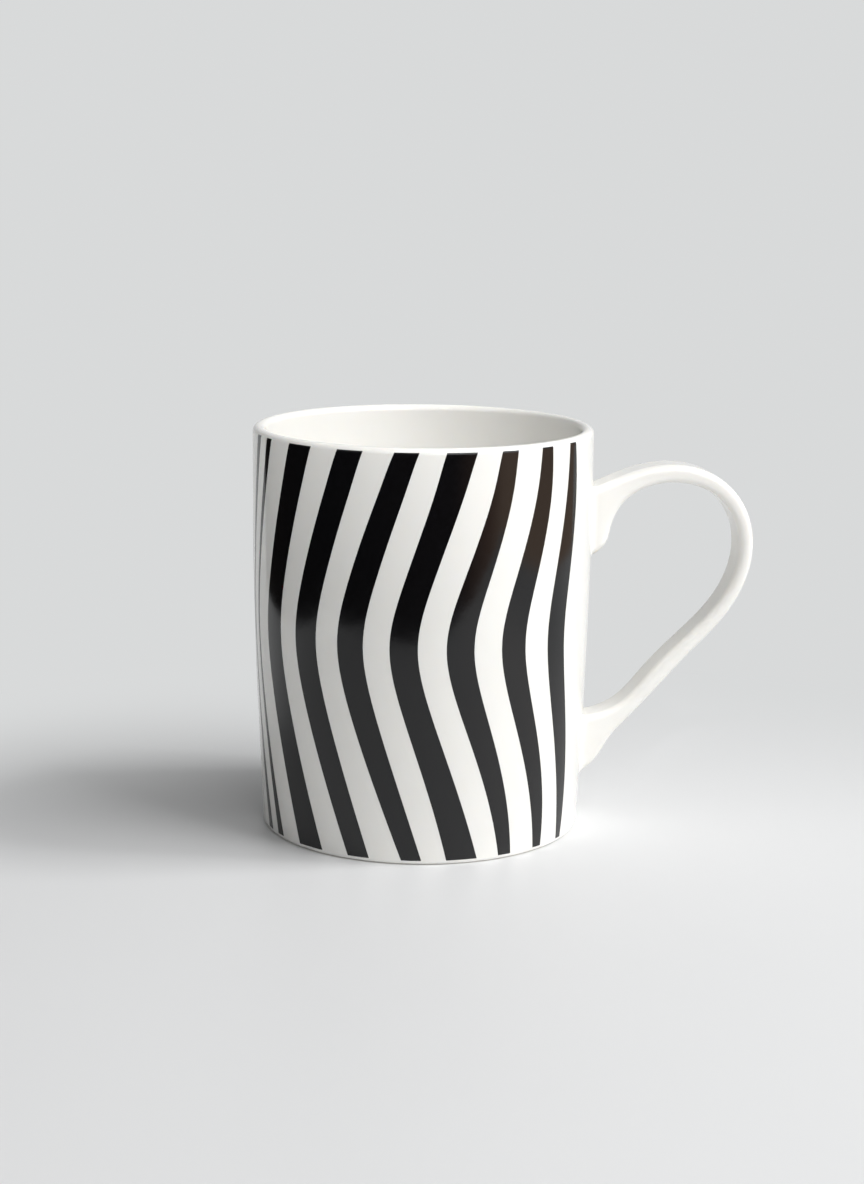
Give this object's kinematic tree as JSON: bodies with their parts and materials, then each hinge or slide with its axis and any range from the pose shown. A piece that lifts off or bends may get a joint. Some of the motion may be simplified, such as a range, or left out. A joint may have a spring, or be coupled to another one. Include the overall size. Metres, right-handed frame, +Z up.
{
  "type": "ceramic mug",
  "caption": "Tapered white glazed ceramic mug with a teardrop strap handle and bent black enamel stripes round its wall, for hot drinks.",
  "frame": {"origin": "the middle of the foot ring, on the plane that the mug stands on", "axes": "+Z up along the cup's axis, +X out through the handle, +Y to the side, so the XZ plane is the mirror plane"},
  "size_m": [0.117, 0.0782, 0.0933],
  "materials": {
    "fired_clay": "fine fired white clay, bare and matt on the foot ring",
    "slip": "fired slip, smoothed round the joints",
    "white_glaze": "glossy clear glaze over white clay",
    "black_enamel": "glossy black fired-on enamel"
  },
  "bodies": {
    "root": {"back_stripe_1": "black_enamel", "back_stripe_2": "black_enamel", "back_stripe_3": "black_enamel", "back_stripe_4": "black_enamel", "back_stripe_5": "black_enamel", "back_stripe_6": "black_enamel", "back_stripe_7": "black_enamel", "back_stripe_8": "black_enamel", "back_stripe_9": "black_enamel", "clay_body": "fired_clay", "clay_handle": "fired_clay", "front_stripe_1": "black_enamel", "front_stripe_2": "black_enamel", "front_stripe_3": "black_enamel", "front_stripe_4": "black_enamel", "front_stripe_5": "black_enamel", "front_stripe_6": "black_enamel", "front_stripe_7": "black_enamel", "front_stripe_8": "black_enamel", "front_stripe_9": "black_enamel", "glaze_coat": "white_glaze", "glaze_underside": "white_glaze", "lower_joint_slip": "slip", "upper_joint_slip": "slip"}
  },
  "joints": []
}
